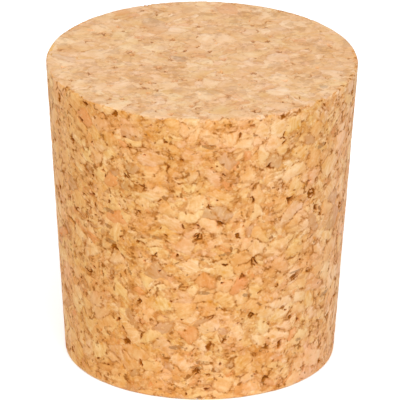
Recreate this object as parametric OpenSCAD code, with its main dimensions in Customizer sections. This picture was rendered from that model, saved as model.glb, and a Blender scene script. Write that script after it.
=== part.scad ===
// Tapered stopper of agglomerated cork, ground from one pressed block of granules.
// The body is a single revolved solid with softly broken edges. Open gaps, left where
// granules didn't quite meet, are scattered over its side and over both ends.
// The origin is the middle of the narrow end, which the stopper stands on, with +Z up.

/* [Body] */
// Diameter across the wide upper end, in mm
top_diameter = 45; // [42:0.5:60]
// Diameter across the narrow lower end, in mm
bottom_diameter = 39; // [30:0.5:42]
// Height from end to end, in mm
height = 45; // [30:1:70]
// Rounding where the side meets each end, in mm
edge_radius = 0.4; // [0.2:0.1:1.5]

/* [Granules] */
// Width of an ordinary granule, in mm
granule_size = 3; // [2.6:0.1:6]
// Granules with an open gap beside them, in percent
gap_share = 24; // [10:2:40]
// Gaps where three granules meet, in percent of all gaps
star_share = 25; // [0:5:60]
// Number that picks one scatter of gaps out of many
scatter = 11; // [1:1:60]

/* [Gaps] */
// Shortest gap, in mm
gap_length_min = 0.6; // [0.4:0.1:0.9]
// Longest gap, in mm
gap_length_max = 1.8; // [1:0.1:2.6]
// Narrowest gap as a share of its length
gap_slimness = 0.34; // [0.25:0.01:0.6]
// Depth of the shallowest gap, in mm
gap_depth_min = 0.3; // [0.2:0.05:0.5]
// Depth of the deepest gap, in mm
gap_depth_max = 0.7; // [0.5:0.05:1.2]
// Largest lean of a gap's walls, in degrees
gap_lean = 22; // [0:1:30]

/* [Hidden] */
$fn = 120;

cork = [0.91, 0.68, 0.44];

top_radius = top_diameter / 2;
bottom_radius = bottom_diameter / 2;
taper = atan((top_radius - bottom_radius) / height);

golden_angle = 180 * (3 - sqrt(5));
// Straight steps in the arc of each rounded edge, within 0.015 mm of round
edge_steps = 3;
// How far a cutter stands out of the surface that it opens
overshoot = 0.6;
// Clear band between a gap's middle and the rounded edges
rim_band = edge_radius + gap_length_max / 2 + 0.1;
// Middle of each end that stays plain, so that it can be measured and pressed on
plain_radius = 2;

side_area = PI * (top_radius + bottom_radius) * height / cos(taper);
gap_cell = granule_size * granule_size * 100 / gap_share;
side_gaps = round(side_area / gap_cell);

function radius_at(z) = bottom_radius + z * tan(taper);
function gaps_on_disc(radius) = round(PI * radius * radius / gap_cell);

// A repeatable random number from 0 to 1 for gap number i, one for each trait
function chance(i, trait) =
    let (wave = 43758.5453 * sin(127.1 * i + 311.7 * trait + 57.3 * scatter))
    wave - floor(wave);
function pick(low, high, i, trait) = low + (high - low) * chance(i, trait);

// Most gaps are short, and a few are long
function gap_length(i) =
    gap_length_min + (gap_length_max - gap_length_min) * pow(chance(i, 1), 2.2);

// Four corners round a slit between two granules, each pushed off the pure diamond
function slit_outline(i) =
    let (long = gap_length(i) / 2, wide = long * pick(gap_slimness, 0.8, i, 2))
    [
        [long, wide * pick(-0.4, 0.4, i, 3)],
        [long * pick(-0.5, 0.5, i, 4), wide],
        [-long, wide * pick(-0.4, 0.4, i, 5)],
        [long * pick(-0.5, 0.5, i, 6), -wide]
    ];

// Three unequal arms that run out between three granules, with a waist between each pair
function star_outline(i) =
    let (reach = 0.35 + gap_length(i) / 2)
    [
        for (corner = [0:5])
            let (
                angle = 60 * corner + pick(-16, 16, i, 10 + corner),
                out = corner % 2 == 0 ? pick(0.55, 1, i, 20 + corner) : pick(0.25, 0.42, i, 20 + corner)
            )
            reach * out * [cos(angle), sin(angle)]
    ];

// Cutter for gap number i: an upright prism through z = 0 whose walls lean one way
module gap_cutter(i) {
    depth = pick(gap_depth_min, gap_depth_max, i, 7);
    star = 100 * chance(i, 8) < star_share;
    rotate([0, 0, 360 * chance(i, 9)])
        rotate([gap_lean * (2 * chance(i, 30) - 1), gap_lean * (2 * chance(i, 31) - 1), 0])
            translate([0, 0, -depth])
                linear_extrude(height = depth + overshoot)
                    polygon(star ? star_outline(i) : slit_outline(i));
}

// Points along an arc of the edge radius about centre, from one angle to another
function edge_arc(centre, from, to) =
    [
        for (step = [0:edge_steps])
            let (angle = from + (to - from) * step / edge_steps)
            centre + edge_radius * [cos(angle), sin(angle)]
    ];

// Half section of the body, each corner rounded tangent to its end and to the side
module half_section() {
    foot_centre = [bottom_radius + edge_radius * (tan(taper) - 1 / cos(taper)), edge_radius];
    rim_centre = [top_radius - edge_radius * (tan(taper) + 1 / cos(taper)), height - edge_radius];
    polygon(concat(
        [[0, 0]],
        edge_arc(foot_centre, -90, -taper),
        edge_arc(rim_centre, -taper, 90),
        [[0, height]]
    ));
}

// Gaps over the side: even steps up the height and golden turns about the axis,
// each then moved by up to half a cell so that no spiral shows
module side_gap_cutters() {
    first = rim_band;
    span = height - 2 * rim_band;
    loose = sqrt(gap_cell) / 2;
    for (i = [0:side_gaps - 1]) {
        z = first + span * (i + 0.5) / side_gaps;
        up = min(first + span, max(first, z + loose * (2 * chance(i, 40) - 1)));
        turn = golden_angle * i + asin(loose / radius_at(up)) * (2 * chance(i, 41) - 1);
        rotate([0, 0, turn])
            translate([radius_at(up), 0, up])
                rotate([0, 90 + taper, 0])
                    gap_cutter(i);
    }
}

// Gaps over one end of the given radius, on a sunflower spiral outside the plain middle
module end_gap_cutters(radius, first_number) {
    count = gaps_on_disc(radius);
    reach = radius - rim_band;
    for (i = [0:count - 1]) {
        out = sqrt(pow(plain_radius, 2) + (pow(reach, 2) - pow(plain_radius, 2)) * (i + 0.5) / count);
        turn = golden_angle * i + 25 * chance(first_number + i, 42);
        rotate([0, 0, turn])
            translate([out, 0, 0])
                gap_cutter(first_number + i);
    }
}

// The whole stopper, one piece of cork
module stopper() {
    color(cork)
        difference() {
            rotate_extrude()
                half_section();
            side_gap_cutters();
            translate([0, 0, height])
                end_gap_cutters(top_radius, side_gaps);
            mirror([0, 0, 1])
                end_gap_cutters(bottom_radius, side_gaps + gaps_on_disc(top_radius));
        }
}

stopper();
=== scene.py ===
"""Looks of a tapered stopper of agglomerated cork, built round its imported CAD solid.

Lengths are metres in the shared frame, with +Z up and the narrow end on z = 0. The pattern of
the cork works in millimetres. One formula, cork_field, gives the granules and their pores: numpy
reads it to cut the pores into the mesh, and a node group reads it to colour them.
"""

import math
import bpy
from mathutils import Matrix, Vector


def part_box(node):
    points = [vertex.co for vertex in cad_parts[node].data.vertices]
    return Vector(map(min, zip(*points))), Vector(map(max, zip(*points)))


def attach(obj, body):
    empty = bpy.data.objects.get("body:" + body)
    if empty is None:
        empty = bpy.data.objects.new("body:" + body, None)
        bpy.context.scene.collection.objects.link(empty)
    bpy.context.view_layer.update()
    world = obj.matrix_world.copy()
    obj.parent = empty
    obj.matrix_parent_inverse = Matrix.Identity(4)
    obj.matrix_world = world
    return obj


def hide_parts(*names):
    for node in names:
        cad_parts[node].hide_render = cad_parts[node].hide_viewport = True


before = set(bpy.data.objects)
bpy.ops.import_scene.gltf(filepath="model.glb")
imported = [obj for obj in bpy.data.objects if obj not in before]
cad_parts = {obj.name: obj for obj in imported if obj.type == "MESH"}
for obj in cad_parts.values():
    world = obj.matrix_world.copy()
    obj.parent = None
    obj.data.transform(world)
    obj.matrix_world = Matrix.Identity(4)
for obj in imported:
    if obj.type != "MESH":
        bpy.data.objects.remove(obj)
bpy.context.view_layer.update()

from types import SimpleNamespace

import bpy
import numpy as np
from bpy.props import FloatProperty, FloatVectorProperty, IntProperty, PointerProperty
from mathutils import Matrix, Vector

bl_info = {
    "name": "Cork Stopper",
    "version": (1, 0, 0),
    "blender": (4, 5, 0),
    "location": "View3D > Sidebar > Cork",
    "description": "Builds a tapered stopper of agglomerated cork and the stage it stands on",
    "category": "Add Mesh",
}

_, CAD_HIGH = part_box("stopper")
MM = 0.001
TURN = 2.0 * math.pi


# ---- Two readers of one formula: arrays of points, and shader nodes -------------------------

# The lookup3 hash starts each word at this, plus four for every word that it reads
HASH_START = 0xDEADBEEF + 13
LARGEST_WORD = 0xFFFFFFFF


def lookup_mix(a, b, c):
    """The mixing steps of the public-domain lookup3 hash, on whole arrays of 32-bit words."""
    for turn in (4, 6, 8, 16, 19, 4):
        a = (a - c) ^ rotated(c, turn)
        c = c + b
        a, b, c = b, c, a
    return a, b, c


def lookup_final(a, b, c):
    """The closing steps of the same hash. Only the last word is kept."""
    for turn in (14, 11, 25, 16, 4, 14, 24):
        c = (c ^ b) - rotated(b, turn)
        a, b, c = b, c, a
    return b


def rotated(word, turn):
    return (word << np.uint32(turn)) | (word >> np.uint32(32 - turn))


def word_of(numbers):
    return np.ascontiguousarray(numbers, np.float32).view(np.uint32)


def fraction_of(word):
    return word.astype(np.float32) * np.float32(1.0 / LARGEST_WORD)


def cell_numbers(corner):
    """Three random numbers for each unit cell, the same that a Voronoi node gives that cell.

    Each number is the lookup3 hash of the cell's corner, of the corner and 1, or of it and 2.
    """
    x, y, z = (word_of(corner[:, k]) for k in range(3))
    three, four = np.uint32(HASH_START + 4 * 3), np.uint32(HASH_START + 4 * 4)
    with np.errstate(over="ignore"):
        numbers = [fraction_of(lookup_final(x + three, y + three, z + three))]
        a, b, c = lookup_mix(x + four, y + four, z + four)
        for extra in (1.0, 2.0):
            numbers.append(fraction_of(lookup_final(a + word_of(extra), b, c)))
    return np.stack(numbers, -1)


def combinations(*axes):
    """Every combination of the numbers on three axes, one to a row."""
    return np.stack(np.meshgrid(*axes, indexing="ij"), -1).reshape(-1, 3)


class ArrayMaths:
    """Reads a formula with numpy. A vector is an (n, 3) array and a number an (n,) array."""

    # Places worked out at a time, and the squared distance below which two points are one
    CHUNK = 120000
    SAME_POINT = 1e-4

    sine = staticmethod(np.sin)
    smaller = staticmethod(np.minimum)
    larger = staticmethod(np.maximum)

    def join(self, x, y, z):
        return np.stack(np.broadcast_arrays(x, y, z), -1)

    def parts(self, vector):
        return vector[:, 0], vector[:, 1], vector[:, 2]

    def cycle(self, vector):
        return vector[:, [1, 2, 0]]

    def fraction(self, vector):
        return vector - np.floor(vector)

    def length(self, vector):
        return np.sqrt((vector * vector).sum(-1))

    def below(self, a, b):
        return (a < b).astype(float)

    def choose(self, weight, if_one, if_zero):
        weight = weight if np.ndim(if_one) < 2 else weight[:, None]
        return if_zero + (if_one - if_zero) * weight

    def cells(self, vector, edge=True):
        """The nearest point of a scattered lattice: its distance, random traits, and wall distance.

        Every unit cell holds one point at a random place. A wall stands midway between two
        points, square to the line that joins them.
        """
        low = np.floor(vector.min(0)) - 1
        counts = (np.floor(vector.max(0)) + 2 - low).astype(int)
        axes = [np.arange(n) + start for n, start in zip(counts, low)]
        table = cell_numbers(combinations(*axes))
        strides = np.array([counts[1] * counts[2], counts[2], 1])
        offsets = combinations(*[[-1, 0, 1]] * 3)
        near, traits, wall = [], [], []
        for start in range(0, len(vector), self.CHUNK):
            point = vector[start:start + self.CHUNK]
            corner = np.floor(point)
            home = ((corner - low) @ strides).astype(int)
            inside = (point - corner).astype(np.float32)
            rows = [home + int(offset @ strides) for offset in offsets]
            ways = [table[row] + offset.astype(np.float32) - inside
                    for row, offset in zip(rows, offsets)]
            squares = np.stack([(way * way).sum(-1) for way in ways])
            first = squares.argmin(0)
            pick = np.arange(len(point))
            closest = np.stack(ways)[first, pick]
            near.append(np.sqrt(squares[first, pick]))
            traits.append(table[np.stack(rows)[first, pick]])
            if edge:
                wall.append(self.wall_distance(ways, closest))
        return SimpleNamespace(
            distance=np.concatenate(near),
            traits=np.concatenate(traits),
            edge=np.concatenate(wall) if edge else None,
        )

    def wall_distance(self, ways, closest):
        """The least distance to a wall round the closest point, measured square to that wall."""
        best = np.full(len(closest), np.inf, np.float32)
        for way in ways:
            across = way - closest
            square = (across * across).sum(-1)
            other = square > self.SAME_POINT
            gap = ((way + closest) * 0.5 * across).sum(-1) / np.sqrt(np.where(other, square, 1.0))
            best = np.where(other, np.minimum(best, gap), best)
        return best


class Wire:
    """One output of a node tree. Arithmetic on it adds the Math node that does the same."""

    def __init__(self, maths, socket):
        self.maths = maths
        self.socket = socket
        self.vector = socket.type in {"VECTOR", "RGBA"}

    def __add__(self, other):
        return self.maths.plain("ADD", self, other)

    def __sub__(self, other):
        return self.maths.plain("SUBTRACT", self, other)

    def __rsub__(self, other):
        return self.maths.plain("SUBTRACT", other, self)

    def __mul__(self, other):
        return self.maths.plain("MULTIPLY", self, other)

    def __truediv__(self, other):
        return self.maths.plain("DIVIDE", self, other)

    __radd__ = __add__
    __rmul__ = __mul__


class NodeMaths:
    """Reads a formula by adding nodes to a shader tree. A value is a Wire or a plain number."""

    def __init__(self, tree):
        self.tree = tree

    def node(self, kind, inputs=None, **settings):
        """Adds a node, sets it, and feeds some of its inputs, each by its name or its number."""
        added = self.tree.nodes.new(kind)
        for name, value in settings.items():
            setattr(added, name, value)
        for name, value in (inputs or {}).items():
            self.feed(added.inputs[name], value)
        return added

    def wire(self, kind, inputs=None, output=0, **settings):
        """Adds a node and gives one of its outputs."""
        return Wire(self, self.node(kind, inputs, **settings).outputs[output])

    def feed(self, socket, value):
        if isinstance(value, Wire):
            self.tree.links.new(value.socket, socket)
        elif socket.type == "VECTOR" and np.ndim(value) == 0:
            socket.default_value = (value, value, value)
        else:
            socket.default_value = value

    def show(self, shader, kind="ShaderNodeOutputMaterial"):
        self.node(kind, {"Surface": shader})

    def plain(self, operation, *values):
        """The Math node of an operation, or the Vector Math node where a value is a vector."""
        vector = any(v.vector if isinstance(v, Wire) else np.ndim(v) == 1 for v in values)
        kind = "ShaderNodeVectorMath" if vector else "ShaderNodeMath"
        return self.wire(kind, dict(enumerate(values)), operation=operation)

    def join(self, x, y, z):
        return self.wire("ShaderNodeCombineXYZ", {0: x, 1: y, 2: z})

    def parts(self, vector):
        split = self.node("ShaderNodeSeparateXYZ", {0: vector})
        return tuple(Wire(self, socket) for socket in split.outputs)

    def cycle(self, vector):
        x, y, z = self.parts(vector)
        return self.join(y, z, x)

    def sine(self, vector):
        return self.plain("SINE", vector)

    def fraction(self, vector):
        return self.plain("FRACTION", vector)

    def length(self, vector):
        return self.wire("ShaderNodeVectorMath", {0: vector}, "Value", operation="LENGTH")

    def smaller(self, a, b):
        return self.plain("MINIMUM", a, b)

    def larger(self, a, b):
        return self.plain("MAXIMUM", a, b)

    def below(self, a, b):
        return self.plain("LESS_THAN", a, b)

    def choose(self, weight, if_one, if_zero):
        return if_zero + (if_one - if_zero) * weight

    def cells(self, vector, edge=True):
        def voronoi(feature):
            return self.node("ShaderNodeTexVoronoi", {"Vector": vector, "Scale": 1.0},
                             voronoi_dimensions="3D", feature=feature)

        nearest = voronoi("F1")
        return SimpleNamespace(
            distance=Wire(self, nearest.outputs["Distance"]),
            traits=Wire(self, nearest.outputs["Color"]),
            edge=Wire(self, voronoi("DISTANCE_TO_EDGE").outputs["Distance"]) if edge else None,
        )


# ---- The pattern of the cork, in millimetres ------------------------------------------------

# Waves that bend the granule walls: radians per mm, swing in mm, and phase on each axis
BENDS = (
    (0.95, 0.5, (0.4, 1.9, 3.7)),
    (2.3, 0.16, (2.6, 0.7, 5.1)),
    (5.3, 0.08, (1.3, 4.4, 2.2)),
    (12.7, 0.035, (0.2, 3.3, 1.1)),
)

# The smallest opening as a share of the largest, in length and in width
LEAST_OPENING = 0.3
# A granule's traits are the fractions of this many times the random numbers that broke it
TRAIT_SPREAD = 7.31
# Keeps a place on the axis from being divided by nought, in mm
LEAST_RADIUS = 0.001

# Shifts in cells, so that no two lattices have their points in the same places
SMALL_SHIFT = (31.3, 17.9, 5.1)
CRUMB_SHIFT = (7.7, 41.2, 23.6)
PORE_SHIFT = (3.1, 8.3, 1.7)
CRACK_SHIFT = (12.4, 2.9, 9.6)


def ground_point(m, place, form):
    """The ground surface above a place in the cork: its point, its depth, and how far it is
    from its rim, in mm, above 0 on the side and below 0 on an end.

    A place nearer to the side than to an end goes straight out to the taper, whose radius is the
    foot radius plus the height times the slope. Any other place goes up or down to its end.
    """
    x, y, z = m.parts(place)
    radius = m.length(m.join(x, y, 0.0))
    full = z * form.slope + form.foot_radius
    from_side = (full - radius) * form.side_lean
    from_top = form.height - z
    from_end = m.smaller(from_top, z)
    stretch = full / m.larger(radius, LEAST_RADIUS)
    on_side = m.join(x * stretch, y * stretch, z)
    on_end = m.join(x, y, m.below(from_top, z) * form.height)
    ground = m.choose(m.below(from_side, from_end), on_side, on_end)
    return ground, m.smaller(from_side, from_end), from_end - from_side


def cork_field(m, place, look):
    """Granules and open pores at places on the ground surface.

    Space is filled with granules: large ones, of which a share is broken into small ones, and
    some of those into crumbs. Each is a cell round a scattered point, with its walls bent by
    sine waves and its height pressed flatter than its width. Pores open along the walls inside
    scattered balls: a pore is widest in the middle of its ball and closes towards its edge.
    Cracks do the same in larger balls, and are thinner.

    The result holds each granule's three random traits, the distance to its edge and to the
    nearest wall that isn't a crumb's, its size from 1 for a large one to 0 for a crumb, how far
    the place is inside a pore and a crack, and how near an opening is.
    """
    bent = place * (1.0, 1.0, look.flatness)
    for wave, swing, phase in BENDS:
        bent = bent + m.sine(m.cycle(bent) * wave + phase) * swing
    large = m.cells(bent / look.large)
    small = m.cells(bent / look.small + SMALL_SHIFT)
    crumb = m.cells(bent / look.crumb + CRUMB_SHIFT)

    large_edge = large.edge * look.large
    small_edge = m.smaller(large_edge, small.edge * look.small)
    crumb_edge = m.smaller(small_edge, crumb.edge * look.crumb)
    whole = m.below(m.parts(large.traits)[0], look.whole_share)
    crumbled = m.below(m.parts(small.traits)[0], look.crumb_share)
    broken_traits = m.choose(crumbled, crumb.traits, small.traits)
    broken_edge = m.choose(crumbled, crumb_edge, small_edge)
    traits = m.fraction(m.choose(whole, large.traits, broken_traits) * TRAIT_SPREAD)
    wall = m.choose(whole, large_edge, small_edge)
    pore, pore_nearness = opening(m, place, wall, look.pore_spacing, look.pore_reach,
                                  look.pore_width, PORE_SHIFT)
    crack, crack_nearness = opening(m, place, large_edge, look.crack_spacing,
                                    look.crack_reach, look.crack_width, CRACK_SHIFT)
    return SimpleNamespace(
        traits=traits,
        edge=m.choose(whole, large_edge, broken_edge),
        wall=wall,
        size=m.choose(whole, 1.0, (1.0 - crumbled) * 0.5),
        pore=pore,
        crack=crack,
        nearness=m.larger(pore_nearness, crack_nearness),
    )


def opening(m, place, edge, spacing, reach, width, shift):
    """How far a place is inside an opening along a wall, in mm, and how near its ball's middle.

    A ball's radius is a random share of its reach, mostly a small one. Its opening's half width
    is the width times one less the squared share of the radius that the place is from the middle.
    """
    ball = m.cells(place / spacing + shift, edge=False)
    luck, breadth, _ = m.parts(ball.traits)
    spare = 1.0 - LEAST_OPENING
    radius = (luck * luck * luck * spare + LEAST_OPENING) * reach
    share = ball.distance * spacing / radius
    nearness = m.larger(1.0 - share * share, 0.0)
    half_width = nearness * (breadth * spare + LEAST_OPENING) * width
    return m.larger(half_width - edge, 0.0), nearness


def relief_depth(m, field, look):
    """Depth of the ground surface under a level plane, in mm: openings, seams and granule faces."""
    granule_rise = m.parts(field.traits)[2] * look.face_relief
    seam = m.larger(look.seam_width - field.edge, 0.0) * (look.seam_depth / look.seam_width)
    pore = m.smaller(field.pore * look.pore_slope, look.pore_depth)
    crack = m.smaller(field.crack * look.pore_slope, look.crack_depth)
    return m.larger(m.larger(pore, crack), seam) + granule_rise


# ---- The larger gaps, which the CAD solid has too, in millimetres and degrees ---------------

GOLDEN_ANGLE = 180.0 * (3.0 - math.sqrt(5.0))
# The middle of each end that stays plain, and the plain band beside each edge
PLAIN_RADIUS = 2.0
PLAIN_BAND = 0.1
# A star reaches this much past half its length. Its arms and waists are shares of that reach,
# and each may stray this far from an even turn
STAR_REACH = 0.35
STAR_ARM, STAR_WAIST = (0.55, 1.0), (0.25, 0.42)
STAR_STRAY = 16.0
# A slit's greatest width as a share of its length, and the skew of its ends and of its sides
SLIT_WIDTH, END_SKEW, SIDE_SKEW = 0.8, 0.4, 0.5
# Most gaps are short: a gap's length goes with this power of its chance
LENGTH_POWER = 2.2
# How far a gap on an end may turn on from its place on the spiral
SPIRAL_STRAY = 25.0
# Steps down into a gap, the last at this share of the greatest depth
GAP_STEPS, LAST_STEP = 18, 1.15
# The slope of a gap's broken lip, and how far its mouth may reach past half the greatest length
LIP_SLOPE = 3.5
MOUTH_REACH = 0.75
# Least cosine of the angle between a gap's axis and a surface that it opens
FACING = 0.5


def chance(number, trait, scatter):
    """A repeatable random number from 0 to 1 for one trait of one gap: the fraction of a large
    multiple of a sine."""
    wave = 43758.5453 * math.sin(math.radians(127.1 * number + 311.7 * trait + 57.3 * scatter))
    return wave - math.floor(wave)


def spun(degrees):
    """A turn about the stopper's axis."""
    return np.array(Matrix.Rotation(math.radians(degrees), 3, "Z"))


def gap_shape(number, gaps):
    """Outline, depth and turn of one gap: four corners round a slit, or three arms and waists."""
    def pick(low, high, trait):
        return low + (high - low) * chance(number, trait, gaps.scatter)

    length = gaps.length_min + (gaps.length_max - gaps.length_min) * pick(0, 1, 1) ** LENGTH_POWER
    if 100.0 * pick(0, 1, 8) < gaps.star_share:
        reach = STAR_REACH + length / 2
        corners = []
        for corner in range(6):
            angle = math.radians(60 * corner + pick(-STAR_STRAY, STAR_STRAY, 10 + corner))
            span = STAR_ARM if corner % 2 == 0 else STAR_WAIST
            out = reach * pick(*span, 20 + corner)
            corners.append((out * math.cos(angle), out * math.sin(angle)))
    else:
        long = length / 2
        wide = long * pick(gaps.slimness, SLIT_WIDTH, 2)
        corners = [
            (long, wide * pick(-END_SKEW, END_SKEW, 3)),
            (long * pick(-SIDE_SKEW, SIDE_SKEW, 4), wide),
            (-long, wide * pick(-END_SKEW, END_SKEW, 5)),
            (long * pick(-SIDE_SKEW, SIDE_SKEW, 6), -wide),
        ]
    turned = (
        Matrix.Rotation(math.radians(pick(0, 360, 9)), 3, "Z")
        @ Matrix.Rotation(math.radians(pick(-gaps.lean, gaps.lean, 31)), 3, "Y")
        @ Matrix.Rotation(math.radians(pick(-gaps.lean, gaps.lean, 30)), 3, "X")
    )
    return SimpleNamespace(corners=np.array(corners), turned=np.array(turned),
                           depth=pick(gaps.depth_min, gaps.depth_max, 7))


def gap_places(form, gaps):
    """Every gap's shape with its middle on the surface and the directions of its own axes.

    On the side the gaps step evenly up the height and turn by the golden angle, each then moved
    by up to half a cell. On an end they follow a sunflower spiral outside a plain middle.
    """
    cell = gaps.granule_size ** 2 * 100.0 / gaps.share
    band = form.edge_radius + gaps.length_max / 2 + PLAIN_BAND
    taper = math.atan(form.slope)
    area = math.pi * (form.rim_radius + form.foot_radius) * form.height / math.cos(taper)
    side_count = round(area / cell)
    span, loose = form.height - 2 * band, math.sqrt(cell) / 2
    tip = np.array(Matrix.Rotation(math.pi / 2 + taper, 3, "Y"))
    placed = []
    for i in range(side_count):
        wander = loose * (2 * chance(i, 40, gaps.scatter) - 1)
        up = min(band + span, max(band, band + span * (i + 0.5) / side_count + wander))
        radius = form.foot_radius + up * form.slope
        sway = math.degrees(math.asin(loose / radius)) * (2 * chance(i, 41, gaps.scatter) - 1)
        spin = spun(GOLDEN_ANGLE * i + sway)
        gap = gap_shape(i, gaps)
        gap.middle = spin @ (radius, 0.0, up)
        gap.axes = spin @ tip @ gap.turned
        placed.append(gap)
    for end_radius, level, flip in ((form.rim_radius, form.height, 1.0),
                                    (form.foot_radius, 0.0, -1.0)):
        count = round(math.pi * end_radius ** 2 / cell)
        room = (end_radius - band) ** 2 - PLAIN_RADIUS ** 2
        mirror = np.diag((1.0, 1.0, flip))
        for i in range(count):
            out = math.sqrt(PLAIN_RADIUS ** 2 + room * (i + 0.5) / count)
            stray = SPIRAL_STRAY * chance(len(placed), 42, gaps.scatter)
            spin = spun(GOLDEN_ANGLE * i + stray)
            gap = gap_shape(len(placed), gaps)
            gap.middle = mirror @ (spin @ (out, 0.0, 0.0)) + (0.0, 0.0, level)
            gap.axes = mirror @ spin @ gap.turned
            placed.append(gap)
    return placed


def inside_distance(points, corners):
    """Distance from each point to an outline's nearest side, positive inside and negative out."""
    nearest = np.full(points.shape[:-1], np.inf)
    crossings = np.zeros(points.shape[:-1], int)
    for start, end in zip(corners, np.roll(corners, -1, 0)):
        side = end - start
        rel = points - start
        along = np.clip(rel @ side / (side @ side), 0.0, 1.0)
        away = rel - along[..., None] * side
        nearest = np.minimum(nearest, (away * away).sum(-1))
        crosses = (start[1] > points[..., 1]) != (end[1] > points[..., 1])
        rise = side[1] if abs(side[1]) > 1e-12 else 1e-12
        left = points[..., 0] < start[0] + (points[..., 1] - start[1]) * side[0] / rise
        crossings += crosses & left
    return np.sqrt(nearest) * np.where(crossings % 2 == 1, 1.0, -1.0)


def gap_depths(ground, outward, form, gaps):
    """Depth of the larger gaps below each ground point, in mm.

    From a point that lies in a gap's mouth, steps go straight into the cork, and the depth is
    the last step before the gap's leaning wall or its floor. A mouth's lip is broken at a slope,
    and two sine waves make its outline a little ragged.
    """
    depth = np.zeros(len(ground))
    ragged = ground + np.sin(ground[:, [1, 2, 0]] * 6.1 + 0.7) * 0.06
    ragged += np.sin(ragged[:, [2, 0, 1]] * 14.3 + 2.1) * 0.03
    steps = np.linspace(0.0, gaps.depth_max * LAST_STEP, GAP_STEPS)
    reach = gaps.length_max * 0.5 + MOUTH_REACH
    for gap in gap_places(form, gaps):
        offset = ground - gap.middle
        near = np.flatnonzero((offset * offset).sum(-1) < reach ** 2)
        near = near[(outward[near] @ gap.axes[:, 2]) > FACING]
        local = (ragged[near] - gap.middle) @ gap.axes
        inward = -(outward[near] @ gap.axes)
        probes = local[:, None, :] + inward[:, None, :] * steps[None, :, None]
        room = np.minimum(inside_distance(probes[..., :2], gap.corners),
                          probes[..., 2] + gap.depth)
        open_run = np.cumprod(room > 0.0, 1).sum(1)
        last = np.clip(open_run - 1, 0, len(steps) - 2)
        rows = np.arange(len(near))
        here, there = room[rows, last], room[rows, last + 1]
        part = np.clip(here / np.maximum(here - there, 1e-9), 0.0, 1.0)
        found = np.where(open_run > 0, steps[last] + part * (steps[1] - steps[0]), 0.0)
        found = np.minimum(found, np.maximum(room[:, 0], 0.0) * LIP_SLOPE)
        depth[near] = np.maximum(depth[near], found)
    return depth


# ---- The body's surface ---------------------------------------------------------------------

# The flat map's spare width, its margins under the side and the discs, and the discs' places
MAP_SPARE, SIDE_MARGIN, DISC_MARGIN = 1.04, 0.02, 0.05
TOP_PLACE, FOOT_PLACE = 0.25, 0.65


def profile(form, side_rows, edge_rows):
    """Half section from the foot's flat to the rim's flat: radius, height and outward direction.

    A corner is an arc tangent to its end and to the taper. Its centre lies one edge radius in
    from both.
    """
    taper = math.atan(form.slope)
    edge = form.edge_radius
    foot = np.array((form.foot_radius + edge * (math.tan(taper) - 1 / math.cos(taper)), edge))
    rim = np.array((form.rim_radius - edge * (math.tan(taper) + 1 / math.cos(taper)),
                    form.height - edge))
    foot_angles = np.linspace(-math.pi / 2, -taper, edge_rows + 1)
    rim_angles = np.linspace(-taper, math.pi / 2, edge_rows + 1)
    angles = np.concatenate([foot_angles, np.full(side_rows - 1, -taper), rim_angles])
    out = np.stack([np.cos(angles), np.sin(angles)], -1)
    along = np.linspace(0.0, 1.0, side_rows + 1)[1:-1, None]
    start, end = foot + edge * out[edge_rows], rim + edge * out[-edge_rows - 1]
    points = np.concatenate([
        foot + edge * out[:edge_rows + 1],
        start + (end - start) * along,
        rim + edge * out[-edge_rows - 1:],
    ])
    return points, out


def disc_grid(cells):
    """A square grid carried onto a unit disc, with even rings: radius is the larger coordinate,
    and the angle steps evenly along each ring."""
    line = np.linspace(-1.0, 1.0, cells + 1)
    a, b = np.meshgrid(line, line, indexing="ij")
    wide = np.abs(a) >= np.abs(b)
    with np.errstate(divide="ignore", invalid="ignore"):
        angle = np.where(wide, math.pi / 4 * b / a, math.pi / 2 - math.pi / 4 * a / b)
    radius = np.where(wide, a, b)
    angle = np.where(radius == 0.0, 0.0, angle)
    return np.stack([radius * np.cos(angle), radius * np.sin(angle)], -1)


def ring_order(cells):
    """Places of the disc grid's outer ring in the flat list of its points, anticlockwise."""
    index = np.arange((cells + 1) ** 2).reshape(cells + 1, cells + 1)
    return np.concatenate([index[-1, :-1], index[1:, -1][::-1], index[0, 1:][::-1],
                           index[:-1, 0]])


def revolved(section, around):
    """Each pair of a half section, outward and upward, turned to each direction about the axis."""
    outward, upward = section[:, 0, None, None] * around, section[:, 1, None, None]
    upward = np.broadcast_to(upward, (*outward.shape[:2], 1))
    return np.concatenate([outward, upward], -1).reshape(-1, 3)


def closed_skin(form, cells, side_rows, edge_rows):
    """Points, outward directions and four-cornered faces of the closed, ground body.

    The side is the half section turned round the axis in 4 * cells columns. Each end is a disc
    grid whose outer ring is the side's first or last row, so nothing needs to be welded.
    """
    points, out = profile(form, side_rows, edge_rows)
    flat = disc_grid(cells).reshape(-1, 2)
    ring = ring_order(cells)
    rows, columns = len(points), len(ring)
    places = [revolved(points, flat[ring])]
    normals = [revolved(out, flat[ring])]
    index = np.arange(rows * columns).reshape(rows, columns)
    after = np.roll(index, -1, 1)
    faces = [np.stack([index[:-1], after[:-1], after[1:], index[1:]], -1).reshape(-1, 4)]
    start = rows * columns
    inner = np.ones(len(flat), bool)
    inner[ring] = False
    count = inner.sum()
    for row, upward in ((rows - 1, 1.0), (0, -1.0)):
        radius, level = points[row]
        numbers = np.empty(len(flat), int)
        numbers[ring] = index[row]
        numbers[inner] = start + np.arange(count)
        start += count
        places.append(np.column_stack([flat[inner] * radius, np.full(count, level)]))
        normals.append(np.tile((0.0, 0.0, upward), (count, 1)))
        grid = numbers.reshape(cells + 1, cells + 1)
        quads = np.stack([grid[:-1, :-1], grid[1:, :-1], grid[1:, 1:], grid[:-1, 1:]], -1)
        faces.append(quads.reshape(-1, 4)[:, ::int(upward)])
    return np.concatenate(places), np.concatenate(normals), np.concatenate(faces)


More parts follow.
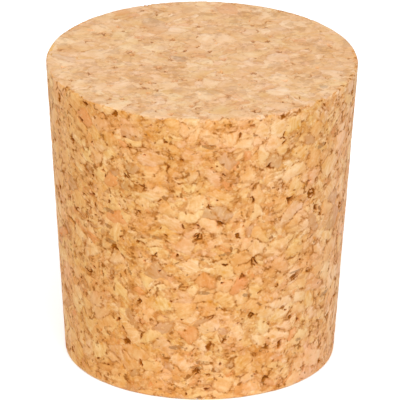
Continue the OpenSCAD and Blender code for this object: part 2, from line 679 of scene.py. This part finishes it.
def mesh_from(name, points, faces):
    """A mesh of four-cornered faces, filled straight from arrays."""
    mesh = bpy.data.meshes.new(name)
    mesh.vertices.add(len(points))
    mesh.vertices.foreach_set("co", points.astype(np.float32).ravel())
    mesh.loops.add(faces.size)
    mesh.loops.foreach_set("vertex_index", faces.astype(np.int32).ravel())
    mesh.polygons.add(len(faces))
    mesh.polygons.foreach_set("loop_start", np.arange(0, faces.size, 4, dtype=np.int32))
    mesh.update(calc_edges=True)
    return mesh


def thinned(piece, triangles):
    """Leaves about this many triangles, most of them where the surface bends, round the pores."""
    piece.data.calc_loop_triangles()
    thin = piece.modifiers.new("thin", "DECIMATE")
    thin.ratio = triangles / len(piece.data.loop_triangles)
    thin.use_collapse_triangulate = True
    depsgraph = bpy.context.evaluated_depsgraph_get()
    dense = piece.data
    piece.data = bpy.data.meshes.new_from_object(piece.evaluated_get(depsgraph))
    piece.modifiers.clear()
    bpy.data.meshes.remove(dense)


def unroll(mesh, form):
    """Lays the skin out flat for texture work: the side unrolled, and the two ends as discs.

    The side's map is the angle about the axis by the height, at one scale for all three parts,
    and each face goes whole to the part that its middle is nearest to.
    """
    count = len(mesh.loops)
    vertex = np.empty(count, np.int32)
    mesh.loops.foreach_get("vertex_index", vertex)
    flat = np.empty(len(mesh.vertices) * 3, np.float32)
    mesh.vertices.foreach_get("co", flat)
    corner = flat.reshape(-1, 3)[vertex].reshape(-1, 3, 3) / MM
    middle = corner.mean(1)
    radius = np.hypot(middle[:, 0], middle[:, 1])
    from_side = form.foot_radius + middle[:, 2] * form.slope - radius
    from_top, from_foot = form.height - middle[:, 2], middle[:, 2]
    on_side = from_side < np.minimum(from_top, from_foot)
    on_top = ~on_side & (from_top < from_foot)
    angle = np.arctan2(corner[..., 0], -corner[..., 1])
    centre = np.arctan2(middle[:, 0], -middle[:, 1])[:, None]
    angle = centre + (angle - centre + math.pi) % TURN - math.pi
    girth = TURN * form.rim_radius * MAP_SPARE
    side_map = np.stack([0.5 + angle * form.rim_radius / girth,
                         SIDE_MARGIN + corner[..., 2] / girth], -1)
    up = DISC_MARGIN + (form.height + form.rim_radius) / girth
    top_map = corner[..., :2] / girth + (TOP_PLACE, up)
    foot_map = corner[..., :2] * (1.0, -1.0) / girth + (FOOT_PLACE, up)
    spread = np.where(on_side[:, None, None], side_map,
                      np.where(on_top[:, None, None], top_map, foot_map))
    layer = mesh.uv_layers.new(name="OFBake")
    layer.uv.foreach_set("vector", spread.astype(np.float32).ravel())


# ---- Materials ------------------------------------------------------------------------------

def linear(colour):
    """A displayed colour as light: the standard curve, straight near black."""
    c = np.array(colour[:3], float)
    light = np.where(c <= 0.04045, c / 12.92, ((c + 0.055) / 1.055) ** 2.4)
    return (*light, 1.0)


def emptied(owner):
    """Clears the node tree of a material or a world, and gives the maths that adds to it."""
    owner.use_nodes = True
    owner.node_tree.nodes.clear()
    return NodeMaths(owner.node_tree)


def cork_group(form, look):
    """The node group that tells a material where it is in the cork.

    It takes an object position in metres. It gives the ground point in mm, what cork_field
    tells of it, the relief's height, the depth below the ground surface, and the distance from
    the rim, above 0 on the side.
    """
    tree = bpy.data.node_groups.new("cork_granules", "ShaderNodeTree")
    tree.interface.new_socket("Position", in_out="INPUT", socket_type="NodeSocketVector")
    m = NodeMaths(tree)
    place = Wire(m, m.node("NodeGroupInput").outputs["Position"]) * (1.0 / MM)
    ground, depth, from_rim = ground_point(m, place, form)
    field = cork_field(m, ground, look)
    results = {
        "Ground": ground, "Traits": field.traits, "Edge": field.edge, "Wall": field.wall,
        "Size": field.size, "Pore": field.pore, "Crack": field.crack,
        "Nearness": field.nearness, "Relief": relief_depth(m, field, look) * -1.0,
        "Depth": depth, "Rim": from_rim,
    }
    for name, value in results.items():
        kind = "NodeSocketVector" if value.vector else "NodeSocketFloat"
        tree.interface.new_socket(name, in_out="OUTPUT", socket_type=kind)
    m.node("NodeGroupOutput", results)
    return tree


def colour_ramp(m, value, stops):
    ramp = m.node("ShaderNodeValToRGB", {0: value})
    elements = ramp.color_ramp.elements
    while len(elements) < len(stops):
        elements.new(0.5)
    for element, (position, colour) in zip(elements, stops):
        element.position = position
        element.color = linear(colour)
    return Wire(m, ramp.outputs["Color"])


def blended(m, factor, under, over):
    """One colour laid over another by a factor."""
    return m.wire("ShaderNodeMix", {0: factor, 6: under, 7: over}, 2, data_type="RGBA")


def noise(m, vector, scale, detail, roughness):
    """Noise from 0 to 1 about 0.5, with its scale in blots per unit of length."""
    return m.wire("ShaderNodeTexNoise", {"Vector": vector, "Scale": scale, "Detail": detail,
                                         "Roughness": roughness}, noise_dimensions="3D")


def ramped(m, value, low, high, to_low=0.0, to_high=1.0):
    """The value's place between low and high, eased, and held inside the new range."""
    return m.wire("ShaderNodeMapRange", {"Value": value, "From Min": low, "From Max": high,
                                         "To Min": to_low, "To Max": to_high},
                  "Result", clamp=True, interpolation_type="SMOOTHSTEP")


# The floor's own light, only for rays that see it
FLOOR_GLOW = 0.46

# Shares of the granules that are rust-coloured and grey
RUST_SHARE, GREY_SHARE = 0.03, 0.035
# Share of the bark's cells that hold a flake, and share of the flakes that are old
BARK_SHARE, OLD_SHARE = 0.3, 0.12

# What red, green and blue each take of a shade. What absorbs more light takes most from the
# blue and least from the red.
GROWN_SHADE = (0.42, 1.05, 2.3)
WARM_SHADE = (-0.1, 0.18, 0.0)
SANDED_SHADE = (0.85, 1.5, 2.9)
TORN_SHADE = (1.1, 1.6, 2.2)
# Painted glare, paler towards one side of the stopper
GLARE_SHADE = (0.0, 0.03, 0.16)


class CorkPaint:
    """The colour of ground cork, laid on step by step over each granule's own tone.

    The outputs of the granule group are its attributes, by their names in small letters. A
    granule's three random traits are its tone, its tint and the lay of its grain. A step covers
    the colour so far with a tone, or shades it: each channel is multiplied by one plus its take
    of the shade. A step keeps the masks that later ones read.
    """

    def __init__(self, m, granules, look, tones):
        self.m = m
        self.look = look
        self.tones = tones
        for socket in granules.outputs:
            setattr(self, socket.name.lower(), Wire(m, socket))
        self.tone, self.tint, self.lay = m.parts(self.traits)

    def local_noise(self, scale, detail, roughness, shift=None):
        """Noise over the ground surface, with its scale in blots per mm."""
        place = self.ground if shift is None else self.ground + shift
        return noise(self.m, place, scale, detail, roughness)

    def cover(self, amount, tone):
        """Lays a tone of the settings, or a colour that nodes work out, over the colour so far."""
        over = tone if isinstance(tone, Wire) else linear(tone)
        self.colour = blended(self.m, amount, self.colour, over)

    def shade(self, amount, takes):
        self.colour = self.colour * (amount * takes + (1.0, 1.0, 1.0))

    def tone_granules(self):
        """Each granule's own tone and tint. The large ones are the palest."""
        m, tones, tint = self.m, self.tones, self.tint
        self.colour = colour_ramp(m, self.tone * 0.68 + self.size * 0.2 + 0.062, (
            (0.0, tones.brown), (0.08, tones.tan), (0.32, tones.peach), (0.6, tones.straw),
            (0.85, tones.cream), (1.0, tones.pale)))
        self.cover(ramped(m, tint, 0.68, 0.96, 0.0, 0.42), tones.pink)
        self.cover(ramped(m, tint, 0.36, 0.06, 0.0, 0.6), tones.yellow)
        self.cover(m.below(tint, RUST_SHARE) * 0.6, tones.rust)
        self.cover(m.below(1.0 - GREY_SHARE, tint) * 0.5, tones.grey)

    def grow_streaks(self):
        """Growth streaks that run one way in each granule, soft mottling, and warmer places."""
        m, look = self.m, self.look
        turned = m.wire("ShaderNodeVectorRotate", {"Vector": self.ground,
                                                   "Rotation": self.traits * 9.0},
                        rotation_type="EULER_XYZ")
        self.streaks = noise(m, turned * (0.5, 2.3, 0.95), 1.0, 2.0, 0.6)
        self.mottle = self.local_noise(0.9, 3.0, 0.7)
        shade = (self.streaks - 0.5) * (self.lay * 1.3 + 0.55) * look.streak_strength
        shade = shade + (self.mottle - 0.5) * look.mottle_strength
        broad = noise(m, self.ground * (1.0, 1.0, 1.6), 0.17, 2.0, 0.5)
        self.shade(shade + (broad - 0.5) * 0.55, GROWN_SHADE)
        self.shade(self.local_noise(0.22, 2.0, 0.5, (9.0, 2.0, 6.0)) - 0.5, WARM_SHADE)

    def scatter_bark(self):
        """Thin flat flakes of darker bark, a few of them old and darker still."""
        m, ground = self.m, self.ground
        wavy = m.sine(m.cycle(ground) * 0.9) * 0.12
        bark = m.cells(ground * (0.3, 0.3, 0.95) + wavy, edge=False)
        presence, age, _ = m.parts(bark.traits)
        old = m.below(age, OLD_SHARE)
        spread = bark.distance + (self.mottle - 0.5) * 0.7 - old * 0.05
        flake = ramped(m, spread, 0.33, 0.26) * m.below(presence, BARK_SHARE)
        tone = blended(m, old, linear(self.tones.bark), linear(self.tones.old_bark))
        self.cover(flake * (old * 0.15 + 0.45), tone)

    def sand_and_sheen_ends(self):
        """The ends are sanded finer and keep some dark grit, and a patchy pale film that is partly
        dust and partly painted sheen, the pale glare that the ends take at a grazing view.

        At the rim each granule takes the look of the side or of the end as a whole, so that the
        rim looks a little ragged.
        """
        m, tones = self.m, self.tones
        nibble = (self.lay - 0.4) * 1.3 + (self.local_noise(1.4, 2.0, 0.5) - 0.5) * 0.8
        self.on_side = ramped(m, self.rim + nibble, -0.06, 0.06)
        self.on_end = 1.0 - self.on_side
        patches = self.local_noise(0.4, 4.0, 0.6)
        # Painted sheen: a patchy pale film over the ends, partly dust and partly the glare of a
        # grazing view
        self.cover(self.on_end * self.look.dust_and_sheen * (patches + 0.5), tones.dust_and_sheen)
        speck = self.local_noise(1.1, 2.0, 0.5) + (self.local_noise(0.3, 1.0, 0.5) - 0.5) * 0.9
        self.cover(self.on_end * ramped(m, speck, 0.6, 0.68) * 0.28, tones.grit)
        grade = (patches - 0.5) * 0.43 + (self.tone - 0.5) * 0.11
        self.shade(self.on_end * grade, SANDED_SHADE)

    def shade_margins(self):
        """Ragged margins between the granules: the glue and fine crumbs that lie there, and painted
        shade between the granules.

        They and all later dark marks are bold on the side, and plainer on the ends.
        """
        m, look, tones = self.m, self.look, self.tones
        self.bold = self.on_side * (1.0 - look.end_plainness) + look.end_plainness
        self.dark = blended(m, self.on_end, linear(tones.crack), linear(tones.grit))
        self.drift = self.local_noise(0.8, 3.0, 0.65)
        ragged = (self.local_noise(2.9, 3.0, 0.6) - 0.5) * 0.8
        # Painted shade in the glue's tone: darker towards each granule's edge, on about half the
        # edges
        margin_and_shade = ramped(m, self.edge + ragged, 0.38, 0.0) * ramped(m, self.drift, 0.35, 0.62)
        self.cover(margin_and_shade * self.bold * look.margin_shade_strength, tones.wall)
        from_wall = self.wall + ragged * 0.3
        seam = ramped(m, from_wall, 0.28, 0.04) * ramped(m, self.drift, 0.46, 0.64)
        self.core = ramped(m, from_wall, 0.2, 0.02) * ramped(m, self.drift, 0.56, 0.69)
        self.cover(seam * self.bold * 0.5, tones.seam)
        self.cover(self.core * self.bold * 0.8, self.dark)

    def fleck_faces(self):
        """Small chips that stand light side up, and dark flecks near the walls."""
        m = self.m
        chip = ramped(m, self.local_noise(1.6, 2.0, 0.5, (4.0, 9.0, 2.0)), 0.61, 0.67)
        self.cover(chip * (0.5 - self.on_end * 0.2), self.tones.pale)
        fleck = self.local_noise(1.25, 1.0, 0.5) - self.wall * 0.2 + (self.drift - 0.5) * 0.45
        self.fleck = ramped(m, fleck, 0.6, 0.7)
        self.cover(self.fleck * self.bold * 0.72, self.dark)

    def open_pores(self):
        """A stain round each opening, the cracks, and the pores and gaps: the torn walls' own
        colour, and painted shade that grows darker the deeper a place lies below the ground
        surface.
        """
        m, tones = self.m, self.tones
        halo = ramped(m, self.edge, 0.4, 0.05) * ramped(m, self.nearness, 0.0, 0.6)
        self.cover(halo * self.bold * 0.5, tones.seam)
        self.split = ramped(m, self.crack, 0.0, 0.06)
        self.cover(self.split * self.bold * 0.42, self.dark)
        torn = self.local_noise(3.2, 2.0, 0.6) - 0.5
        # Painted shade: pores and every place sunk below the ground surface are darkened, more the
        # deeper they lie
        self.hole_and_shade = m.larger(ramped(m, self.pore + torn * 0.06, 0.0, 0.08),
                             ramped(m, self.depth + torn * 0.5, 0.08, 0.5))
        # The colour laid in the recesses: partly their walls' own colour, partly painted shade
        inside = blended(m, self.on_end, linear(tones.pore), linear(tones.grit))
        self.cover(self.hole_and_shade * (1.0 - self.on_end * 0.45), inside)
        self.shade(self.hole_and_shade * torn, TORN_SHADE)

    def paint_glare_across(self, radius):
        """Painted glare: the side grows a little paler and less yellow towards +x, the right of the
        camera's view, and deeper towards -x.
        """
        # Painted glare: paler towards +x across the side
        across = self.m.parts(self.ground)[0] / radius
        self.shade(across * self.on_side, GLARE_SHADE)

    def roughness(self):
        """Matt, and duller still where the cork is open or marked dark."""
        m = self.m
        marks = m.larger(self.core, self.fleck) * self.bold
        opened = m.larger(self.hole_and_shade, m.larger(self.split, marks))
        return ramped(m, self.mottle, 0.3, 0.7, 0.42, 0.56) + opened * 0.4

    def height(self):
        """Height of what is too fine for the mesh, in mm."""
        height = self.relief * 0.5 + self.local_noise(6.5, 3.0, 0.6) * 0.02 + self.streaks * 0.012
        return height + ramped(self.m, self.edge, 0.0, 0.6) * 0.06


def cork_material(form, look, tones):
    """Ground agglomerated cork: flat-cut granules of many tones, open pores darkened by their
    walls' own colour and by painted shade, a matt grain.
    """
    material = bpy.data.materials.new("ground_cork")
    m = emptied(material)
    granules = m.node("ShaderNodeGroup", node_tree=cork_group(form, look))
    m.feed(granules.inputs["Position"], m.wire("ShaderNodeTexCoord", output="Object"))
    paint = CorkPaint(m, granules, look, tones)
    paint.tone_granules()
    paint.grow_streaks()
    paint.scatter_bark()
    paint.sand_and_sheen_ends()
    paint.shade_margins()
    paint.fleck_faces()
    paint.open_pores()
    paint.paint_glare_across(form.rim_radius)
    bump = m.wire("ShaderNodeBump", {"Strength": look.bump_strength, "Distance": MM,
                                     "Height": paint.height()}, "Normal")
    m.show(m.wire("ShaderNodeBsdfPrincipled", {
        "Base Color": paint.colour, "Roughness": paint.roughness(), "Normal": bump,
        "Specular IOR Level": 0.12}))
    return material


def seen_or_mirrored(m):
    """1 for a ray from the camera, off a mirror or through glass, and 0 for one that lights."""
    path = m.node("ShaderNodeLightPath")
    camera, glossy, through = (Wire(m, path.outputs[f"Is {kind} Ray"])
                               for kind in ("Camera", "Glossy", "Transmission"))
    return m.larger(camera, m.larger(glossy, through))


def floor_material(colour):
    """A pale floor that shows white to the camera, keeps a soft shadow, and is open from below."""
    material = bpy.data.materials.new("pale_floor")
    m = emptied(material)
    paint = m.wire("ShaderNodeBsdfDiffuse", {"Color": linear(colour)})
    glow, nothing = (m.wire("ShaderNodeEmission", {"Strength": strength})
                     for strength in (FLOOR_GLOW, 0.0))
    added = m.wire("ShaderNodeMixShader", {0: seen_or_mirrored(m), 1: nothing, 2: glow})
    both = m.wire("ShaderNodeAddShader", {0: paint, 1: added})
    underneath = m.wire("ShaderNodeNewGeometry", output="Backfacing")
    clear = m.wire("ShaderNodeBsdfTransparent")
    m.show(m.wire("ShaderNodeMixShader", {0: underneath, 1: both, 2: clear}))
    return material


# ---- Settings that a user would change ------------------------------------------------------

def length_setting(name, value, description):
    return FloatProperty(name=name, description=description, default=value, min=0.0,
                         unit="LENGTH", subtype="DISTANCE", precision=5)


def number_setting(name, value, description):
    return FloatProperty(name=name, description=description, default=value, min=0.0)


def angle_setting(name, degrees, description):
    return FloatProperty(name=name, description=description, default=math.radians(degrees),
                         subtype="ANGLE")


def count_setting(name, value, description, low, high):
    return IntProperty(name=name, description=description, default=value, min=low, max=high)


def colour_setting(name, value, description):
    return FloatVectorProperty(name=name, description=description, default=value, size=3,
                               min=0.0, max=1.0, subtype="COLOR_GAMMA")


class CorkFormSettings(bpy.types.PropertyGroup):
    """Sizes of the stopper, those of its CAD solid."""

    top_diameter: length_setting("Top Diameter", 0.045, "Across the wide upper end")
    bottom_diameter: length_setting("Bottom Diameter", 0.039, "Across the narrow lower end")
    height: length_setting("Height", CAD_HIGH.z, "From end to end")
    edge_radius: length_setting("Edge Radius", 0.0004, "Rounding where the side meets an end")
    triangles: count_setting("Triangles", 194000, "Triangles in the finished skin", 20000, 199000)
    cells: count_setting("Cells", 280, "Grid cells across an end before thinning", 40, 400)


class CorkGapSettings(bpy.types.PropertyGroup):
    """The larger open gaps, those of the CAD solid."""

    granule_size: length_setting("Granule Size", 0.003, "Width of an ordinary granule")
    share: number_setting("Gap Share", 24.0, "Granules with a gap beside them, in percent")
    star_share: number_setting("Star Share", 25.0, "Gaps where three granules meet, in percent")
    scatter: count_setting("Scatter", 11, "Picks one scatter of gaps", 1, 60)
    length_min: length_setting("Shortest Gap", 0.0006, "Length of the shortest gap")
    length_max: length_setting("Longest Gap", 0.0018, "Length of the longest gap")
    slimness: number_setting("Slimness", 0.34, "Narrowest gap as a share of its length")
    depth_min: length_setting("Least Depth", 0.0003, "Depth of the shallowest gap")
    depth_max: length_setting("Most Depth", 0.0007, "Depth of the deepest gap")
    lean: number_setting("Lean", 22.0, "Largest lean of a gap's walls, in degrees")


class CorkGranuleSettings(bpy.types.PropertyGroup):
    """Granules, seams and pores, in the pattern and in the relief."""

    large: length_setting("Large Granule", 0.0026, "Spacing of the large granules")
    small: length_setting("Small Granule", 0.00142, "Spacing of the pieces of a broken one")
    crumb: length_setting("Crumb", 0.0008, "Spacing of the crumbs")
    flatness: number_setting("Flatness", 1.18, "How far the block was pressed flat")
    whole_share: number_setting("Whole Share", 0.5, "Share of large granules left whole")
    crumb_share: number_setting("Crumb Share", 0.3, "Share of small granules that crumbled")
    pore_spacing: length_setting("Pore Spacing", 0.002, "Spacing of the pores")
    pore_reach: length_setting("Pore Reach", 0.00098, "Half the length of the longest pore")
    pore_width: length_setting("Pore Width", 0.00027, "Half the width of the widest pore")
    crack_spacing: length_setting("Crack Spacing", 0.0036, "Spacing of the cracks")
    crack_reach: length_setting("Crack Reach", 0.0017, "Half the length of the longest crack")
    crack_width: length_setting("Crack Width", 0.0001, "Half the width of the widest crack")
    pore_slope: number_setting("Pore Slope", 2.2, "Steepness of a pore's walls")
    pore_depth: length_setting("Pore Depth", 0.0004, "Depth of the deepest pore")
    crack_depth: length_setting("Crack Depth", 0.00015, "Depth of the deepest crack")
    seam_width: length_setting("Seam Width", 0.00016, "Half the width of a seam")
    seam_depth: length_setting("Seam Depth", 0.00003, "Depth of a seam")
    face_relief: length_setting("Face Relief", 0.00005, "How unevenly the granules were ground")
    # Strength of the margins: partly glue, partly painted shade between the granules
    margin_shade_strength: number_setting("Margins", 0.56, "Strength of the stained margins")
    streak_strength: number_setting("Streaks", 0.57, "Strength of the growth streaks")
    mottle_strength: number_setting("Mottling", 0.78, "Strength of the mottling")
    bump_strength: number_setting("Bump", 0.55, "Strength of the fine relief")
    # How far a pale film covers the ends: partly dust, partly painted sheen
    dust_and_sheen: number_setting("Dust", 0.45, "How far dust hides the ends")
    end_plainness: number_setting("End Plainness", 0.3, "Share of the seams' tone on the ends")


class CorkColourSettings(bpy.types.PropertyGroup):
    """Tones of the granules, and of what lies between them."""

    pale: colour_setting("Pale", (0.98, 0.802, 0.558), "The palest granules")
    cream: colour_setting("Cream", (0.98, 0.775, 0.54), "Cream granules")
    straw: colour_setting("Straw", (0.975, 0.751, 0.505), "Straw granules")
    peach: colour_setting("Peach", (0.955, 0.708, 0.43), "Peach granules")
    tan: colour_setting("Tan", (0.92, 0.65, 0.355), "Tan granules")
    brown: colour_setting("Brown", (0.86, 0.572, 0.266), "The darkest granules")
    pink: colour_setting("Pink", (0.91, 0.653, 0.457), "Tint of the redder granules")
    yellow: colour_setting("Yellow", (0.975, 0.774, 0.495), "Tint of the yellower granules")
    rust: colour_setting("Rust", (0.92, 0.556, 0.287), "Rare rust-coloured granules")
    grey: colour_setting("Grey", (0.8, 0.58, 0.359), "Rare grey granules")
    bark: colour_setting("Bark", (0.8, 0.526, 0.255), "Flat flakes of bark")
    old_bark: colour_setting("Old Bark", (0.58, 0.38, 0.21), "Rare flakes of old bark")
    # Tone of the margins: partly glue, partly painted shade between the granules
    wall: colour_setting("Wall", (0.82, 0.516, 0.214), "Stained margins of the granules")
    seam: colour_setting("Seam", (0.77, 0.476, 0.181), "Soft stain along broken seams")
    crack: colour_setting("Crack", (0.63, 0.365, 0.1), "Cracks and dark flecks")
    # Laid in pores and recesses on the side: the walls' own colour and painted shade
    pore: colour_setting("Pore", (0.7, 0.415, 0.1), "Walls of the open pores")
    # Grit also fills the recesses of the ends, as painted shade
    grit: colour_setting("Grit", (0.7, 0.48, 0.29), "Dark specks on the sanded ends")
    # Tone of the pale film on the ends: partly dust, partly painted sheen
    dust_and_sheen: colour_setting("Dust", (0.968, 0.83, 0.682), "Fine dust on the sanded ends")


class CorkStageSettings(bpy.types.PropertyGroup):
    """Floor, light and camera."""

    floor: colour_setting("Floor", (0.97, 0.97, 0.97), "Colour of the floor")
    sky: number_setting("Sky", 0.495, "Strength of the light from all round")
    key: number_setting("Key", 0.638, "Light from the front, as a share of full light")
    elevation: angle_setting("Elevation", 23.25, "Height of the camera's view")
    roll: angle_setting("Roll", 0.52, "Turn of the camera about its own axis")
    distance: length_setting("Distance", 1.546, "From the camera to the stopper's middle")
    lens: number_setting("Lens", 962.3, "Focal length in mm, on a sensor 36 mm wide")


def in_mm(settings):
    """A settings group as plain values, with its lengths in millimetres."""
    values = {}
    for name in settings.__annotations__:
        value = getattr(settings, name)
        unit = settings.bl_rna.properties[name].unit
        values[name] = value / MM if unit == "LENGTH" else value
    return SimpleNamespace(**values)


def form_in_mm(settings):
    """The sizes in millimetres, with the radii, the taper's slope and its lean worked out."""
    form = in_mm(settings)
    form.rim_radius = form.top_diameter / 2
    form.foot_radius = form.bottom_diameter / 2
    form.slope = (form.rim_radius - form.foot_radius) / form.height
    form.side_lean = math.cos(math.atan(form.slope))
    return form


# ---- Operators ------------------------------------------------------------------------------

# Rows of faces round each edge, and the angle past which faces meet sharply
EDGE_ROWS = 5
SHARP_ANGLE = 28.0
# In mm, how far the skin lies inside the solid, and the band by each edge where its openings
# are shallow, with their greatest depth there
INSET = 0.01
EDGE_BAND = 0.6
EDGE_DEPTH = 0.25


def by_an_edge(points, form):
    """Which points, in mm, lie in the band where the side meets an end."""
    radius, half = np.hypot(points[:, 0], points[:, 1]), form.height / 2
    by_end = np.abs(points[:, 2] - half) - half + EDGE_BAND > 0.0
    return by_end & (radius > form.foot_radius + points[:, 2] * form.slope - EDGE_BAND)


class CORK_OT_build_body(bpy.types.Operator):
    """Build the cork body: its ground skin with every pore cut in, in place of the plain solid"""

    bl_idname = "cork.build_body"
    bl_label = "Cork Body"
    bl_options = {"REGISTER", "UNDO"}

    def execute(self, context):
        scene = context.scene
        form = form_in_mm(scene.cork_form)
        look = in_mm(scene.cork_granules)
        gaps = in_mm(scene.cork_gaps)
        m = ArrayMaths()
        column_width = TURN * form.rim_radius / (4 * form.cells)
        side_rows = round(form.height / column_width)
        ground, outward, faces = closed_skin(form, form.cells, side_rows, EDGE_ROWS)
        field = cork_field(m, ground_point(m, ground, form)[0], look)
        depth = np.maximum(relief_depth(m, field, look), gap_depths(ground, outward, form, gaps))
        shallow = np.minimum(depth, EDGE_DEPTH)
        depth = np.where(by_an_edge(ground, form), shallow, depth) + INSET
        mesh = mesh_from("cork_body", (ground - outward * depth[:, None]) * MM, faces)
        body = bpy.data.objects.new("cork_body", mesh)
        scene.collection.objects.link(body)
        thinned(body, form.triangles)
        unroll(body.data, form)
        body.data.shade_smooth()
        body.data.set_sharp_from_angle(angle=math.radians(SHARP_ANGLE))
        body.data.materials.append(cork_material(form, look, scene.cork_colours))
        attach(body, "root")
        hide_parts("stopper")
        return {"FINISHED"}


FLOOR_HALF = 30.0
WHITE = (1.0, 1.0, 1.0, 1.0)
# The lamp's place round the stopper, to the right of the front and up, and its width
LAMP_AZIMUTH, LAMP_ELEVATION = 6.0, 52.0
LAMP_DISTANCE, LAMP_WIDTH = 1.2, 1.0
SENSOR_WIDTH = 36.0
VIEW_RANGE = (0.1, 200.0)
# How far the camera looks to the left of the stopper's middle, and above it in its own view
AIM_LEFT, AIM_ABOVE = 0.00012, 0.00045


class CORK_OT_build_stage(bpy.types.Operator):
    """Set up the pale floor, the soft light and the camera"""

    bl_idname = "cork.build_stage"
    bl_label = "Stage"
    bl_options = {"REGISTER", "UNDO"}

    def execute(self, context):
        scene = context.scene
        stage = scene.cork_stage
        self.floor(scene, stage)
        self.world(scene, stage)
        self.lamp(scene, stage)
        self.camera(scene, stage)
        scene.view_settings.view_transform = "Standard"
        return {"FINISHED"}

    def floor(self, scene, stage):
        corners = np.array([(-1, -1, 0), (1, -1, 0), (1, 1, 0), (-1, 1, 0)]) * FLOOR_HALF
        mesh = mesh_from("floor", corners, np.array([[0, 1, 2, 3]]))
        mesh.materials.append(floor_material(stage.floor))
        floor = bpy.data.objects.new("floor", mesh)
        scene.collection.objects.link(floor)

    def world(self, scene, stage):
        """White where it is seen or mirrored, and softer where it lights."""
        scene.world = bpy.data.worlds.new("soft_white")
        m = emptied(scene.world)
        strength = m.choose(seen_or_mirrored(m), 1.0, stage.sky)
        light = m.wire("ShaderNodeBackground", {"Color": WHITE, "Strength": strength})
        m.show(light, "ShaderNodeOutputWorld")

    def lamp(self, scene, stage):
        """One wide soft lamp in front. A key of 1 alone would show colours as written."""
        azimuth, elevation = math.radians(LAMP_AZIMUTH), math.radians(LAMP_ELEVATION)
        direction = Vector((math.sin(azimuth) * math.cos(elevation),
                            -math.cos(azimuth) * math.cos(elevation), math.sin(elevation)))
        light = bpy.data.lights.new("key_lamp", "AREA")
        light.shape = "DISK"
        light.size = LAMP_WIDTH
        light.energy = stage.key * math.pi * math.pi * LAMP_DISTANCE ** 2
        lamp = bpy.data.objects.new("key_lamp", light)
        lamp.location = Vector((0.0, 0.0, CAD_HIGH.z / 2)) + direction * LAMP_DISTANCE
        lamp.rotation_euler = direction.to_track_quat("Z", "Y").to_euler()
        scene.collection.objects.link(lamp)

    def camera(self, scene, stage):
        """A long lens on the stopper's middle, from in front and above."""
        data = bpy.data.cameras.new("camera")
        data.sensor_width = SENSOR_WIDTH
        data.lens = stage.lens
        data.clip_start, data.clip_end = VIEW_RANGE
        camera = bpy.data.objects.new("camera", data)
        up, across = math.sin(stage.elevation), math.cos(stage.elevation)
        away = Vector((0.0, -across, up))
        aim = Vector((-AIM_LEFT, 0.0, CAD_HIGH.z / 2)) + Vector((0.0, up, across)) * AIM_ABOVE
        turn = away.to_track_quat("Z", "Y").to_matrix().to_4x4()
        roll = Matrix.Rotation(stage.roll, 4, "Z")
        camera.matrix_world = Matrix.Translation(aim + away * stage.distance) @ turn @ roll
        scene.collection.objects.link(camera)
        scene.camera = camera


class VIEW3D_PT_cork_stopper(bpy.types.Panel):
    """Lists the steps that build the stopper, and their settings"""

    bl_label = "Cork Stopper"
    bl_idname = "VIEW3D_PT_cork_stopper"
    bl_space_type = "VIEW_3D"
    bl_region_type = "UI"
    bl_category = "Cork"

    def draw(self, context):
        layout = self.layout
        layout.use_property_split = True
        for operator, groups in STEPS:
            box = layout.box()
            box.operator(operator)
            for group in groups:
                settings = getattr(context.scene, group)
                for name in settings.__annotations__:
                    box.prop(settings, name)


# The operators in order, each with the settings that it reads
STEPS = (
    ("cork.build_body", ("cork_form", "cork_gaps", "cork_granules", "cork_colours")),
    ("cork.build_stage", ("cork_stage",)),
)

SETTINGS = {
    "cork_form": CorkFormSettings,
    "cork_gaps": CorkGapSettings,
    "cork_granules": CorkGranuleSettings,
    "cork_colours": CorkColourSettings,
    "cork_stage": CorkStageSettings,
}

CLASSES = (*SETTINGS.values(), CORK_OT_build_body, CORK_OT_build_stage, VIEW3D_PT_cork_stopper)


def register():
    for cls in CLASSES:
        bpy.utils.register_class(cls)
    for name, cls in SETTINGS.items():
        setattr(bpy.types.Scene, name, PointerProperty(type=cls))


def unregister():
    for name in SETTINGS:
        delattr(bpy.types.Scene, name)
    for cls in reversed(CLASSES):
        bpy.utils.unregister_class(cls)


def main():
    register()
    bpy.ops.cork.build_body()
    bpy.ops.cork.build_stage()


if __name__ == "__main__":
    main()
